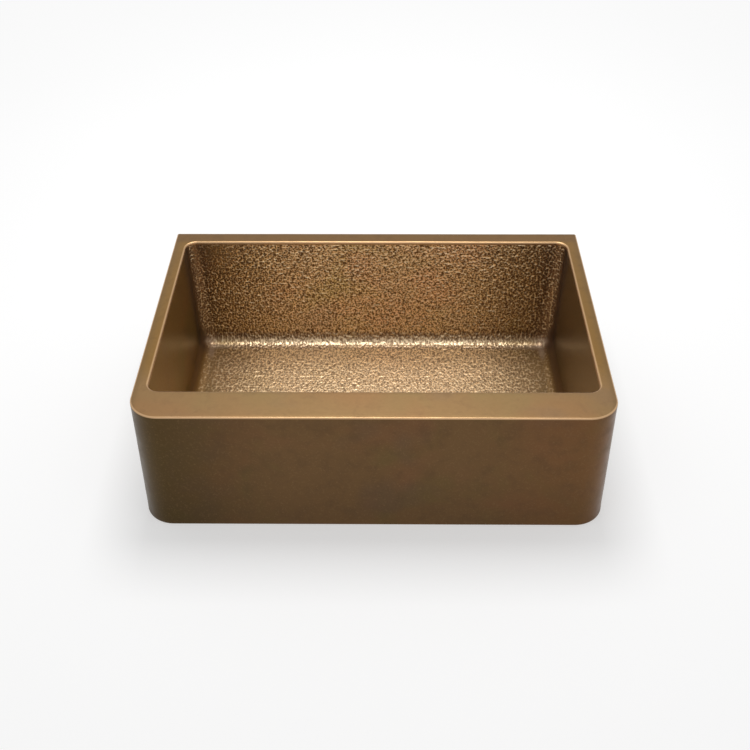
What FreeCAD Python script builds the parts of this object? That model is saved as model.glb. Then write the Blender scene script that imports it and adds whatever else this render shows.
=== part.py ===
import FreeCAD, Part
import math
import os

# Apron-front kitchen sink of welded copper sheet with a basket strainer in its drain.
# Millimetres. X to the right, Y towards the wall behind the sink, Z up.
# The origin is on the drain's axis, level with the underside of the apron.

# Overall size
overall_width = 762.0
overall_depth = 548.0
overall_height = 231.0
sheet = 1.5

# Rim, apron and lips
front_rim_width = 66.0
back_rim_width = 32.0
side_rim_width = 22.5
front_corner_radius = 50.0
edge_bend_inside = 1.5
mouth_bend_inside = 2.5
bend_skirt = 2.0
lip_height = 28.0
apron_return_past_mouth = 24.0
gusset_spacing = 350.0
gusset_height = 70.0
gusset_flange = 20.0

# Bowl
mouth_corner_radius = 20.0
bowl_foot_height = 6.5
wall_lean = 10.0
floor_bend_inside = 26.0
floor_corner_extra = 6.0
pan_edge = 5.0
corner_wrap = 50.0
floor_fall = 2.0
recess_depth = 2.5
recess_land = 6.0
slope_setback = 2.0

# Strainer body, with its seals and nut
body_diameter = 85.0
body_wall = 1.6
flange_reach = 14.65
flange_thickness = 1.8
flange_bevel = 1.0
ledge_depth = 2.6
ledge_width = 1.3
seat_depth = 42.0
seat_thickness = 6.0
waste_diameter = 54.0
tail_diameter = 47.8
tail_wall = 2.6
tail_length = 16.0
funnel_length = 14.0
spoke_count = 4
spoke_width = 3.0
spoke_height = 3.0
spoke_drop = 2.0
hub_wall = 3.4
putty_thickness = 0.8
gasket_thickness = 3.0
gasket_setback = 1.2
friction_ring_thickness = 0.8
nut_wall = 8.5
nut_height = 10.0
lug_count = 6
lug_width = 9.0
lug_reach = 5.0

# Basket and its stopper
basket_sheet = 0.8
basket_taper = 4.0
basket_rim_overlap = 4.6
bottom_hole_diameter = 4.0
bottom_ring_spacing = 6.5
slot_count = 24
slot_width = 2.6
slot_margin = 6.5
bush_wall = 1.2
bush_flange_reach = 2.2
bush_flange_thickness = 1.2
post_diameter = 6.0
post_tip_reach = 8.0
stopper_overlap = 6.0
stopper_thickness = 4.0
stopper_lip = 1.2
washer_reach = 11.0
washer_thickness = 1.0
clip_reach = 2.5
clip_thickness = 0.7
knob_diameter = 21.0
knob_height = 14.0
knob_rise = 8.0
stopper_travel = 8.0

# Clearances
running_clearance = 0.08
resting_clearance = 0.3
recess_clearance = 2.5
hole_clearance = 0.3
basket_side_clearance = 0.4
hub_clearance = 0.6

# Heights that follow from the sizes above
edge_bend = edge_bend_inside + sheet
mouth_bend = mouth_bend_inside + sheet
deck_bottom = overall_height - max(edge_bend, mouth_bend) - bend_skirt
deck_underside = overall_height - sheet
lip_bottom = overall_height - lip_height
floor_level = bowl_foot_height
pan_top = floor_level + floor_bend_inside + pan_edge
drain_level = floor_level - floor_fall
recess_level = drain_level - recess_depth
recess_underside = recess_level - sheet
flange_bottom = recess_level + putty_thickness
flange_top = flange_bottom + flange_thickness
ledge_level = flange_top - ledge_depth
seat_level = flange_top - seat_depth
seat_underside = seat_level - seat_thickness
funnel_bottom = seat_underside - funnel_length
tail_bottom = funnel_bottom - tail_length
gasket_bottom = recess_underside - gasket_thickness
neck_bottom = (recess_underside + gasket_bottom) / 2
nut_top = gasket_bottom - friction_ring_thickness
nut_bottom = nut_top - nut_height
stopper_bottom = seat_level + resting_clearance
stopper_top = stopper_bottom + stopper_thickness
washer_top = stopper_top + washer_thickness
bush_bottom = washer_top + stopper_travel + resting_clearance
basket_bottom = bush_bottom + bush_flange_thickness
basket_rim_level = ledge_level + resting_clearance
clip_bottom = stopper_bottom - clip_thickness
knob_top = flange_top + knob_rise
knob_bottom = knob_top - knob_height
post_tip = seat_level - post_tip_reach

# Plan positions that follow from the sizes above
half_width = overall_width / 2
front_face = -overall_depth / 2
back_face = overall_depth / 2
mouth_front = front_face + front_rim_width
mouth_back = back_face - back_rim_width
mouth_half_width = half_width - side_rim_width
return_end = mouth_front + apron_return_past_mouth
floor_corner_radius = floor_bend_inside + floor_corner_extra

# Radii that follow from the sizes above
cup_radius = body_diameter / 2
flange_radius = cup_radius + flange_reach
recess_radius = flange_radius + recess_clearance
cup_bore_radius = cup_radius - body_wall
basket_rim_radius = cup_bore_radius + ledge_width
ledge_radius = basket_rim_radius + basket_side_clearance
neck_radius = ledge_radius + body_wall
drain_hole_radius = neck_radius + hole_clearance
tail_radius = tail_diameter / 2
waste_radius = waste_diameter / 2
post_radius = post_diameter / 2
bush_bore_radius = post_radius + running_clearance
bush_radius = bush_bore_radius + bush_wall
bush_flange_radius = bush_radius + bush_flange_reach
hub_bore_radius = post_radius + hub_clearance
basket_wall_radius = basket_rim_radius - basket_rim_overlap
basket_foot_radius = basket_wall_radius - basket_taper

PAST = 5.0  # how far a cutting shape runs past what it cuts
SAME = 0.01  # two heights closer than this are the same
DRAIN_AXIS = FreeCAD.Vector(0, 0, 1)


def point(x, y, z=0.0):
    return FreeCAD.Vector(x, y, z)


def block(x_low, x_high, y_low, y_high, z_low, z_high):
    return Part.makeBox(x_high - x_low, y_high - y_low, z_high - z_low, point(x_low, y_low, z_low))


def outline(x_low, x_high, y_low, y_high, front_radius, back_radius, z):
    """A rectangle in plan whose front and back corners are rounded, or square where the radius is 0."""
    corners = [
        (x_low, y_low, 1, 1, front_radius, 180),
        (x_high, y_low, -1, 1, front_radius, 270),
        (x_high, y_high, -1, -1, back_radius, 0),
        (x_low, y_high, 1, -1, back_radius, 90),
    ]
    starts, ends, arcs = [], [], []
    for x, y, to_x, to_y, radius, start_angle in corners:
        if radius <= 0:
            starts.append(point(x, y, z))
            ends.append(point(x, y, z))
            arcs.append(None)
            continue
        centre = point(x + to_x * radius, y + to_y * radius, z)
        angles = [math.radians(start_angle + turn) for turn in (0, 45, 90)]
        on_arc = [centre + point(radius * math.cos(a), radius * math.sin(a)) for a in angles]
        starts.append(on_arc[0])
        ends.append(on_arc[2])
        arcs.append(Part.Arc(*on_arc).toShape())
    edges = []
    for index in range(4):
        if arcs[index]:
            edges.append(arcs[index])
        edges.append(Part.LineSegment(ends[index], starts[(index + 1) % 4]).toShape())
    return Part.Wire(edges)


def prism(wire, height):
    return Part.Face(wire).extrude(point(0, 0, height))


def flat_face_at(shape, z):
    """The level face of a shape at one height."""
    for face in shape.Faces:
        bounds = face.BoundBox
        if bounds.ZLength < SAME and abs(bounds.ZMin - z) < SAME:
            return face


def revolved(profile):
    """A turned solid on the drain's axis, from the (radius, height) corners of half its section."""
    corners = [point(radius, 0, height) for radius, height in profile]
    face = Part.Face(Part.makePolygon(corners + corners[:1]))
    return face.revolve(point(0, 0, 0), DRAIN_AXIS, 360)


def ring(inner_radius, outer_radius, z_low, z_high):
    corners = [(inner_radius, z_low), (outer_radius, z_low), (outer_radius, z_high), (inner_radius, z_high)]
    return revolved(corners)


def turned_copies(shape, count, first_angle=0.0):
    copies = []
    for index in range(count):
        copy = shape.copy()
        copy.rotate(point(0, 0, 0), DRAIN_AXIS, first_angle + 360.0 * index / count)
        copies.append(copy)
    return copies


def fused(shapes):
    return shapes[0].multiFuse(shapes[1:]).removeSplitter()


def mouth_outline(grow, z):
    return outline(
        -mouth_half_width - grow,
        mouth_half_width + grow,
        mouth_front - grow,
        mouth_back + grow,
        mouth_corner_radius + grow,
        mouth_corner_radius + grow,
        z,
    )


def floor_outline(grow, z):
    """The bowl in plan at its floor, before the bend between wall and floor."""
    return outline(
        -mouth_half_width + wall_lean - grow,
        mouth_half_width - wall_lean + grow,
        mouth_front + wall_lean - grow,
        mouth_back - wall_lean + grow,
        floor_corner_radius + grow,
        floor_corner_radius + grow,
        z,
    )


def floor_slope(z_high):
    """The shallow funnel from the foot of the walls down to the drain's recess."""
    inset = floor_bend_inside + slope_setback
    corner = floor_corner_radius - inset
    foot = outline(
        -mouth_half_width + wall_lean + inset,
        mouth_half_width - wall_lean - inset,
        mouth_front + wall_lean + inset,
        mouth_back - wall_lean - inset,
        corner,
        corner,
        z_high,
    )
    land = recess_radius + recess_land
    land_corner = 0.9 * land
    middle = outline(-land, land, -land, land, land_corner, land_corner, z_high - floor_fall)
    return Part.makeLoft([foot, middle], True, True)


def bowl_volume(grow):
    """The space inside the bowl, or with grow the same out to the sheet's outer face."""
    bottom = floor_level - grow
    walls = Part.makeLoft([floor_outline(grow, bottom), mouth_outline(grow, deck_bottom)], True, True)
    floor_face = flat_face_at(walls, bottom)
    walls = walls.makeFillet(floor_bend_inside + grow, floor_face.Edges)
    recess = Part.makeCylinder(recess_radius + grow, PAST, point(0, 0, recess_level - grow))
    return fused([walls, floor_slope(bottom), recess])


def bowl_panels():
    """The pressed floor pan and the four wall panels welded above it."""
    sheet_metal = bowl_volume(sheet).cut(bowl_volume(0))
    drain_hole = Part.makeCylinder(drain_hole_radius, 2 * PAST, point(0, 0, recess_level - PAST))
    sheet_metal = sheet_metal.cut(drain_hole)
    reach = overall_width
    low = block(-reach, reach, -reach, reach, recess_underside - PAST, pan_top)
    pan = sheet_metal.common(low)
    walls = sheet_metal.cut(low)
    front_seam = mouth_front + corner_wrap
    back_seam = mouth_back - corner_wrap
    top = overall_height + PAST
    return {
        "bowl_floor_pan": pan,
        "bowl_front_panel": walls.common(block(-reach, reach, -reach, front_seam, 0, top)),
        "bowl_back_panel": walls.common(block(-reach, reach, back_seam, reach, 0, top)),
        "bowl_left_panel": walls.common(block(-reach, 0, front_seam, back_seam, 0, top)),
        "bowl_right_panel": walls.common(block(0, reach, front_seam, back_seam, 0, top)),
    }


def rim_outline(shrink, z):
    return outline(
        -half_width + shrink,
        half_width - shrink,
        front_face + shrink,
        back_face - shrink,
        front_corner_radius - shrink,
        0,
        z,
    )


def rim_volume(shrink):
    """The rim as a solid ring with rounded top edges, or the same taken in by one sheet."""
    top = overall_height - shrink
    rise = top - deck_bottom
    body = prism(rim_outline(shrink, deck_bottom), rise).cut(prism(mouth_outline(shrink, deck_bottom), rise))
    top_face = flat_face_at(body, top)
    body = body.makeFillet(edge_bend - shrink, top_face.OuterWire.Edges)
    top_face = flat_face_at(body, top)
    mouth_edges = [wire for wire in top_face.Wires if not wire.isSame(top_face.OuterWire)][0].Edges
    return body.makeFillet(mouth_bend - shrink, mouth_edges)


def rim_deck():
    """The flat rim, with its outer edge and the mouth's edge turned down."""
    return rim_volume(0).cut(rim_volume(sheet))


def apron_outline(shrink, back, z):
    return outline(
        -half_width + shrink,
        half_width - shrink,
        front_face + shrink,
        back,
        front_corner_radius - shrink,
        0,
        z,
    )


def apron_tray(shrink, back):
    """The box that the apron wraps, with its lower edge rounded."""
    body = prism(apron_outline(shrink, back, shrink), deck_bottom - shrink)
    bottom_face = flat_face_at(body, shrink)
    bent = [edge for edge in bottom_face.Edges if edge.BoundBox.YMin < back - SAME]
    return body.makeFillet(edge_bend - shrink, bent)


def apron_sheet():
    """The smooth front that wraps both corners, in one with the strip that closes it underneath."""
    return apron_tray(0, return_end).cut(apron_tray(sheet, return_end + PAST))


def apron_pieces(folded):
    """The folded sheet as its two pieces, which are welded where the lower bend ends."""
    strip_zone = prism(apron_outline(edge_bend, return_end, -PAST), PAST + sheet)
    return {"apron_panel": folded.cut(strip_zone), "apron_base_strip": folded.common(strip_zone)}


def bowl_clearance():
    """Everything that the bowl and its mouth take up, out to the sheet's outer face."""
    mouth = prism(mouth_outline(sheet, deck_bottom), overall_height - deck_bottom + PAST)
    return fused([bowl_volume(sheet), mouth])


def saddle_plate(deck, bowl, folded_apron):
    """The bulkhead that closes the apron's back and carries the bowl in its cut-out."""
    reach = half_width - sheet
    plate = block(-reach, reach, return_end - sheet, return_end, sheet, deck_underside)
    return plate.cut(bowl).cut(deck).cut(folded_apron)


def apron_gussets(bowl):
    """Two ties between the apron and the bowl's front wall, each with a welded flange."""
    inner_face = front_face + sheet
    middle = (floor_level + deck_bottom) / 2
    z_low = middle - gusset_height / 2
    z_high = middle + gusset_height / 2
    gussets = []
    for x in (-gusset_spacing / 2, gusset_spacing / 2):
        web = block(x, x + sheet, inner_face, mouth_back, z_low, z_high)
        web = min(web.cut(bowl).Solids, key=lambda solid: solid.BoundBox.YMin)
        flange = block(x, x + gusset_flange, inner_face, inner_face + sheet, z_low, z_high)
        gussets.append(fused([web, flange]))
    return Part.makeCompound(gussets)


def lips():
    """The turned-down lips under the sides and the back of the rim."""
    side_end = back_face - sheet
    return {
        "left_lip": block(-half_width, -half_width + sheet, return_end, side_end, lip_bottom, deck_bottom),
        "right_lip": block(half_width - sheet, half_width, return_end, side_end, lip_bottom, deck_bottom),
        "back_lip": block(-half_width, half_width, side_end, back_face, lip_bottom, deck_bottom),
    }


def strainer_body():
    """The strainer's cup: flange, neck, seat, funnel and the threaded tail."""
    tail_bore = tail_radius - tail_wall
    profile = [
        (ledge_radius, flange_top),
        (flange_radius - flange_bevel, flange_top),
        (flange_radius, flange_top - flange_bevel),
        (flange_radius, flange_bottom),
        (neck_radius, flange_bottom),
        (neck_radius, neck_bottom),
        (cup_radius, neck_bottom),
        (cup_radius, seat_underside),
        (tail_radius, funnel_bottom),
        (tail_radius, tail_bottom),
        (tail_bore, tail_bottom),
        (tail_bore, funnel_bottom),
        (waste_radius, seat_underside),
        (waste_radius, seat_level),
        (cup_bore_radius, seat_level),
        (cup_bore_radius, ledge_level),
        (ledge_radius, ledge_level),
    ]
    spoke_top = seat_level - spoke_drop
    spoke_bottom = spoke_top - spoke_height
    spoke = block(0, waste_radius + body_wall, -spoke_width / 2, spoke_width / 2, spoke_bottom, spoke_top)
    hub = Part.makeCylinder(hub_bore_radius + hub_wall, spoke_height, point(0, 0, spoke_bottom))
    body = fused([revolved(profile), hub] + turned_copies(spoke, spoke_count, 45))
    hub_bore = Part.makeCylinder(hub_bore_radius, spoke_height + 2 * PAST, point(0, 0, spoke_bottom - PAST))
    return body.cut(hub_bore)


def strainer_seals():
    """What seals the strainer to the sink above and below its floor."""
    gasket_radius = flange_radius - gasket_setback
    return {
        "putty_seal": ring(drain_hole_radius, flange_radius, recess_level, flange_bottom),
        "rubber_gasket": ring(drain_hole_radius, gasket_radius, gasket_bottom, recess_underside),
        "friction_ring": ring(cup_radius + hole_clearance, gasket_radius, nut_top, gasket_bottom),
    }


def lock_nut():
    """The ring nut on the strainer's thread, with lugs for the spanner."""
    nut_radius = cup_radius + nut_wall
    nut = ring(cup_radius, nut_radius, nut_bottom, nut_top)
    lug_end = nut_radius + lug_reach
    lug = block(cup_radius + nut_wall / 2, lug_end, -lug_width / 2, lug_width / 2, nut_bottom, nut_top)
    return fused([nut] + turned_copies(lug, lug_count))


def basket_cup():
    """The removable cup with its drain holes and side slots."""
    profile = [
        (basket_rim_radius, basket_rim_level + basket_sheet),
        (basket_rim_radius, basket_rim_level),
        (basket_wall_radius, basket_rim_level),
        (basket_foot_radius, basket_bottom),
        (bush_radius, basket_bottom),
        (bush_radius, basket_bottom + basket_sheet),
        (basket_foot_radius - basket_sheet, basket_bottom + basket_sheet),
        (basket_wall_radius - basket_sheet, basket_rim_level + basket_sheet),
    ]
    cutters = []
    ring_radius = basket_foot_radius - bottom_ring_spacing
    while ring_radius > bush_flange_radius + bottom_hole_diameter:
        start = point(ring_radius, 0, basket_bottom - PAST)
        hole = Part.makeCylinder(bottom_hole_diameter / 2, 2 * PAST, start)
        count = int(math.pi * 2 * ring_radius / (1.9 * bottom_hole_diameter))
        cutters += turned_copies(hole, count, 180.0 / count)
        ring_radius -= bottom_ring_spacing
    slot = block(
        basket_foot_radius - PAST,
        basket_wall_radius + PAST,
        -slot_width / 2,
        slot_width / 2,
        basket_bottom + slot_margin,
        basket_rim_level - slot_margin,
    )
    cutters += turned_copies(slot, slot_count)
    return revolved(profile).cut(Part.makeCompound(cutters))


def basket_bush():
    """The guide in the middle of the basket that the lift post slides through."""
    upper = basket_bottom + basket_sheet
    profile = [
        (bush_bore_radius, bush_bottom),
        (bush_flange_radius, bush_bottom),
        (bush_flange_radius, basket_bottom),
        (bush_radius, basket_bottom),
        (bush_radius, upper),
        (bush_flange_radius, upper),
        (bush_flange_radius, upper + bush_flange_thickness),
        (bush_bore_radius, upper + bush_flange_thickness),
    ]
    return revolved(profile)


def stopper_pieces():
    """What moves up and down with the knob: post, rubber stopper, washer, clip and knob."""
    stopper_radius = waste_radius + stopper_overlap
    stopper = [
        (post_radius, stopper_bottom),
        (stopper_radius - stopper_lip, stopper_bottom),
        (stopper_radius, stopper_bottom + stopper_lip),
        (stopper_radius - 2 * stopper_lip, stopper_top),
        (post_radius, stopper_top),
    ]
    knob_radius = knob_diameter / 2
    waist = 0.45 * knob_radius
    knob = [
        (0, knob_bottom),
        (1.5 * waist, knob_bottom),
        (waist, knob_bottom + 0.2 * knob_height),
        (waist, knob_bottom + 0.5 * knob_height),
        (knob_radius, knob_bottom + 0.72 * knob_height),
        (knob_radius, knob_bottom + 0.86 * knob_height),
        (0.8 * knob_radius, knob_top),
        (0, knob_top),
    ]
    post = Part.makeCylinder(post_radius, knob_bottom - post_tip, point(0, 0, post_tip))
    tip_edges = [edge for edge in post.Edges if abs(edge.BoundBox.ZMax - post_tip) < SAME]
    return {
        "lift_post": post.makeChamfer(0.3 * post_radius, tip_edges),
        "stopper_disc": revolved(stopper),
        "stopper_washer": ring(post_radius, post_radius + washer_reach, stopper_top, washer_top),
        "stopper_clip": ring(post_radius, post_radius + clip_reach, clip_bottom, stopper_bottom),
        "lift_knob": revolved(knob),
    }


def build():
    deck = rim_deck()
    bowl = bowl_clearance()
    folded_apron = apron_sheet()
    pieces = {"rim_deck": deck}
    pieces.update(bowl_panels())
    pieces.update(apron_pieces(folded_apron))
    pieces["saddle_plate"] = saddle_plate(deck, bowl, folded_apron)
    pieces["apron_gussets"] = apron_gussets(bowl)
    pieces.update(lips())
    pieces["strainer_body"] = strainer_body()
    pieces.update(strainer_seals())
    pieces["lock_nut"] = lock_nut()
    pieces["basket_cup"] = basket_cup()
    pieces["basket_bush"] = basket_bush()
    pieces.update(stopper_pieces())
    return pieces


os.makedirs("parts", exist_ok=True)
for name, shape in build().items():
    print(name, "solids", len(shape.Solids), "valid", shape.isValid(), "volume", round(shape.Volume))
    shape.exportStep("parts/%s.step" % name)
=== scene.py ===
import math
from itertools import product

import bmesh
import bpy
import numpy as np
from mathutils import Matrix, Vector
from mathutils.geometry import delaunay_2d_cdt

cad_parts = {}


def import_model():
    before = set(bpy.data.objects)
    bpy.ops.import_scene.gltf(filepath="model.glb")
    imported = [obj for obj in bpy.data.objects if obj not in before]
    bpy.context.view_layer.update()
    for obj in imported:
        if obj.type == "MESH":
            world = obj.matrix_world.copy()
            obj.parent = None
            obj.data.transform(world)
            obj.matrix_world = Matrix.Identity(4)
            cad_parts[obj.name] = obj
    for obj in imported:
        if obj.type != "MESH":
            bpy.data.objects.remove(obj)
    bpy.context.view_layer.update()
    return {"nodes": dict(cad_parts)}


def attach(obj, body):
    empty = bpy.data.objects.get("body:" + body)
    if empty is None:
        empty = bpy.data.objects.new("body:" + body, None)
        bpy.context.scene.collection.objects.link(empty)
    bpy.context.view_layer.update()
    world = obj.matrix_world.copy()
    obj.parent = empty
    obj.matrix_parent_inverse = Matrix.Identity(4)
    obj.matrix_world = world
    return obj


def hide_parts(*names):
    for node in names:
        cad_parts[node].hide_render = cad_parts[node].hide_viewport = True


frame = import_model()

# Sizes in millimetres, the same as in the part's source. Meshes are turned into metres when they are made.
HALF_WIDTH, FRONT, BACK, TOP = 381.0, -274.0, 274.0, 231.0
SHEET = 1.5
FRONT_CORNER, BACK_CORNER = 50.0, 3.5
EDGE_BEND, MOUTH_BEND = 3.0, 4.0
MOUTH_HALF, MOUTH_FRONT, MOUTH_BACK, MOUTH_CORNER = 358.5, -208.0, 242.0, 20.0
DECK_BOTTOM, LIP_BOTTOM, RETURN_END = 225.0, 203.0, -184.0
FLOOR, FALL, BEND, PAN_TOP = 6.5, 2.0, 26.0, 37.5
LEAN = math.atan2(10.0, 218.5)
BEND_ANGLE = math.pi / 2 - LEAN
FLAT_HALF, FLAT_FRONT, FLAT_BACK, FLAT_CORNER = 323.662, -173.162, 207.162, 4.3
FRONT_SEAM, BACK_SEAM = -158.0, 192.0
RECESS, RECESS_LEVEL, DRAIN_HOLE, LAND = 59.65, 2.0, 44.5, 65.65
WALL_SPREAD = 8.582  # how far a wall leans in between the deck and the pan's top edge

# The pressed floor's flat blank: its flat part, the bend round it and the straight rise above the bend.
FLAT_Y = (FLAT_FRONT + FLAT_BACK) / 2
FLAT_DEPTH = (FLAT_BACK - FLAT_FRONT) / 2
BEND_LENGTH = BEND * BEND_ANGLE
WALL_START = FLOOR + BEND - BEND * math.cos(BEND_ANGLE)
WALL_RISE = (PAN_TOP - WALL_START) / math.cos(LEAN)
UNROLLED = BEND_LENGTH + WALL_RISE
REACH = BEND * math.sin(BEND_ANGLE) + WALL_RISE * math.sin(LEAN)

# Steps of the meshes, and what is worked into the sheet by hand, in millimetres.
WALL_SPACING, PAN_SPACING, UNDERSIDE_SPACING, BEAD_SPACING = 1.55, 1.6, 9.0, 0.8
HOLE_STEPS, OUTER_ROWS, BEND_STEPS = 160, 13, 8
HOLE_EDGE = 0.9995  # share of the inner radius of the hole's outline: no face has its middle nearer
PAN_RINGS = (DRAIN_HOLE, 47.5, 51.0, 54.5, 57.5, 59.0, 60.0, 61.0, 62.2, 64.0, 66.0)
UNDERSIDE_RINGS = (DRAIN_HOLE, 52.0, 58.5, 60.5, 63.0)
WIDE_MARK, NARROW_MARK = 6.6, 4.6
FLOOR_STRETCH = 0.66  # the floor's marks are longer from front to back than from side to side
RIM_WAVES, APRON_WAVES, LIP_WAVES, WALL_WAVES = 0.35, 0.5, 0.3, 0.5
BEAD_RADIUS, BEAD_LIFT = 1.7, 0.15

# The scene, in metres: how bright the floor and the sky are, the lamp and the photograph's camera.
FLOOR_GLOW, FAR_GLOW, SKY_LIGHT, SKY_SEEN = 0.44, 0.60, 0.52, 0.92
GLOW_NEAR, GLOW_FAR, PAPER_DARK, PAPER_PALE, PAPER_GRAIN = 0.9, 4.0, 0.61, 0.63, 14.0
FLOOR_RADIUS, WELL_RADIUS, WELL_DEPTH, WELL_STEPS = 9.0, 0.085, 0.16, 48
LAMP_PLACE, LAMP_AIM, LAMP_SIZE, LAMP_RADIANCE = (0.0, 0.62, 2.2), (0.0, 0.62, 0.0), (0.9, 1.2), 7.5
CAMERA_PLACE, CAMERA_TURN = (0.0208, -1.5757, 1.3301), (-0.0134, 0.6624, 0.0057)
CAMERA_LENS, CAMERA_SENSOR, CAMERA_END = 53.527, 36.0, 60.0


# ---- noise and meshes


def hashed(cells, seed):
    """Random numbers from 0 to 1 for whole-number cells, the same on every run."""
    x = cells[..., 0].astype(np.uint64) * np.uint64(0x9E3779B97F4A7C15)
    x ^= cells[..., 1].astype(np.uint64) * np.uint64(0xC2B2AE3D27D4EB4F)
    x ^= cells[..., 2].astype(np.uint64) * np.uint64(0x165667B19E3779F9)
    x += np.uint64(seed * 0xD6E8FEB86659FD93 % (1 << 64))
    for shift in (30, 27, 31):
        x ^= x >> np.uint64(shift)
        x *= np.uint64(0xBF58476D1CE4E5B9)
    return (x >> np.uint64(40)).astype(float) / float(1 << 24)


def soft_noise(points, size, seed):
    """Smooth noise from 0 to 1 with bumps about `size` across."""
    p = points / size + 1000.0
    cell = np.floor(p).astype(np.int64)
    t = p - cell
    t = t * t * (3 - 2 * t)
    total = np.zeros(len(points))
    for corner in product((0, 1), repeat=3):
        weight = np.ones(len(points))
        for axis, step in enumerate(corner):
            weight *= t[:, axis] if step else 1 - t[:, axis]
        total += weight * hashed(cell + np.array(corner), seed)
    return total


def hammer(points, size, seed):
    """Overlapping round hammer marks, 0 in the middle of a mark and about 1 on the ridge between marks."""
    p = points / size + 1000.0
    cell = np.floor(p).astype(np.int64)
    total = np.zeros(len(points))
    sharp = 9.0
    for step in product((-1, 0, 1), repeat=3):
        near = cell + np.array(step)
        gap = p - near
        for axis in range(3):
            gap[:, axis] -= 0.12 + 0.76 * hashed(near, seed + axis)
        total += np.exp(-sharp * (gap * gap).sum(1))
    nearest = -np.log(total + 1e-12) / sharp
    return np.clip(nearest / 0.42, 0.0, 1.3)


def smooth(value, low, high):
    """0 below `low`, 1 above `high` and a soft step between."""
    t = np.clip((value - low) / (high - low), 0, 1)
    return t * t * (3 - 2 * t)


def lifted(flat, z):
    """Points or directions in plan with their third number."""
    return np.column_stack([flat, np.full(len(flat), z)])


def make_mesh(name, points, faces, layers=None, instead_of=(), flat_angle=None, body="sink"):
    """A shown piece from points in millimetres, with named point layers for its material."""
    mesh = bpy.data.meshes.new(name)
    mesh.from_pydata((np.asarray(points) * 0.001).tolist(), [], faces)
    for layer, values in (layers or {}).items():
        values = np.asarray(values, np.float32)
        kind, field = ("FLOAT_VECTOR", "vector") if values.ndim == 2 else ("FLOAT", "value")
        mesh.attributes.new(layer, kind, "POINT").data.foreach_set(field, values.ravel())
    mesh.polygons.foreach_set("use_smooth", [True] * len(mesh.polygons))
    if flat_angle:
        mesh.set_sharp_from_angle(angle=math.radians(flat_angle))
    mesh.update()
    obj = bpy.data.objects.new(name, mesh)
    bpy.context.scene.collection.objects.link(obj)
    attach(obj, body)
    if instead_of:
        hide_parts(*instead_of)
    return obj


def grid_faces(rows, columns, start=0, closed=False, flip=False):
    """Quads over a grid of points, row after row."""
    faces = []
    for row in range(rows - 1):
        base = start + row * columns
        for column in range(columns if closed else columns - 1):
            right = (column + 1) % columns
            quad = (base + column, base + right, base + columns + right, base + columns + column)
            faces.append(quad[::-1] if flip else quad)
    return faces


def sheet_faces(first_rows, second_rows, columns, closed=False, flip=False):
    """Faces of a thin sheet: two grids of points, one for each side, and the edges between them."""
    shift = first_rows * columns
    faces = grid_faces(first_rows, columns, 0, closed, flip)
    faces += grid_faces(second_rows, columns, shift, closed, not flip)
    last_first, last_second = shift - columns, shift + (second_rows - 1) * columns
    edges, ends = [], []
    for column in range(columns if closed else columns - 1):
        after = (column + 1) % columns
        edges.append((after, column, shift + column, shift + after))
        edges.append((last_first + column, last_first + after, last_second + after, last_second + column))
    if not closed:
        start = [row * columns for row in range(first_rows)]
        start += [shift + row * columns for row in reversed(range(second_rows))]
        ends = [tuple(start), tuple(index + columns - 1 for index in reversed(start))]
    return faces + [edge[::-1] if flip else edge for edge in edges] + ends


def padded(values, total):
    """Values for a sheet's first side, with zeros for its other side."""
    values = np.asarray(values, float)
    return np.concatenate([values, np.zeros((total - len(values),) + values.shape[1:])])


def smooth_layers(wear_and_highlight, total):
    """Point layers for the smooth copper: the first points are the side that is seen."""
    return {"wear_and_highlight": padded(wear_and_highlight, total), "outside": padded(np.ones(len(wear_and_highlight)), total)}


# ---- outlines in plan


def corner_arc(centre_x, centre_y, radius, start, steps):
    angles = np.radians(start + 90.0 * np.arange(steps + 1) / steps)
    direction = np.stack([np.cos(angles), np.sin(angles)], 1)
    return np.array([centre_x, centre_y]) + radius * direction, direction


def straight(start, end, normal, steps):
    t = np.linspace(0, 1, steps + 1)[:, None]
    points = np.array(start) * (1 - t) + np.array(end) * t
    return points, np.repeat(np.array([normal], float), steps + 1, 0)


def joined(parts):
    """Arcs and straights end to end, without the doubled points where they meet."""
    points = [parts[0][0]] + [part[0][1:] for part in parts[1:]]
    normals = [parts[0][1]] + [part[1][1:] for part in parts[1:]]
    return np.concatenate(points), np.concatenate(normals)


def loop(half, low, high, front, back, steps):
    """A closed outline with its outward directions, anticlockwise from its front left corner."""
    along, across, turn = steps
    parts = [
        corner_arc(-half + front, low + front, front, 180, turn),
        straight((-half + front, low), (half - front, low), (0, -1), along),
        corner_arc(half - front, low + front, front, 270, turn),
        straight((half, low + front), (half, high - back), (1, 0), across),
        corner_arc(half - back, high - back, back, 0, turn),
        straight((half - back, high), (-half + back, high), (0, 1), along),
        corner_arc(-half + back, high - back, back, 90, turn),
        straight((-half, high - back), (-half, low + front), (-1, 0), across),
    ]
    points, normals = joined(parts)
    return points[:-1], normals[:-1]


def bay(half, end, edge, radius, side, steps):
    """A front (side -1) or back (side 1) wall in plan, with its corners and stubs that turn towards `end`."""
    stub, along, turn = steps
    near, start = edge - side * radius, 0 if side > 0 else 180
    return joined([
        straight((side * half, end), (side * half, near), (side, 0), stub),
        corner_arc(side * (half - radius), near, radius, start, turn),
        straight((side * (half - radius), edge), (-side * (half - radius), edge), (0, side), along),
        corner_arc(-side * (half - radius), near, radius, start + 90, turn),
        straight((-side * half, near), (-side * half, end), (-side, 0), stub),
    ])


# ---- bowl


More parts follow.
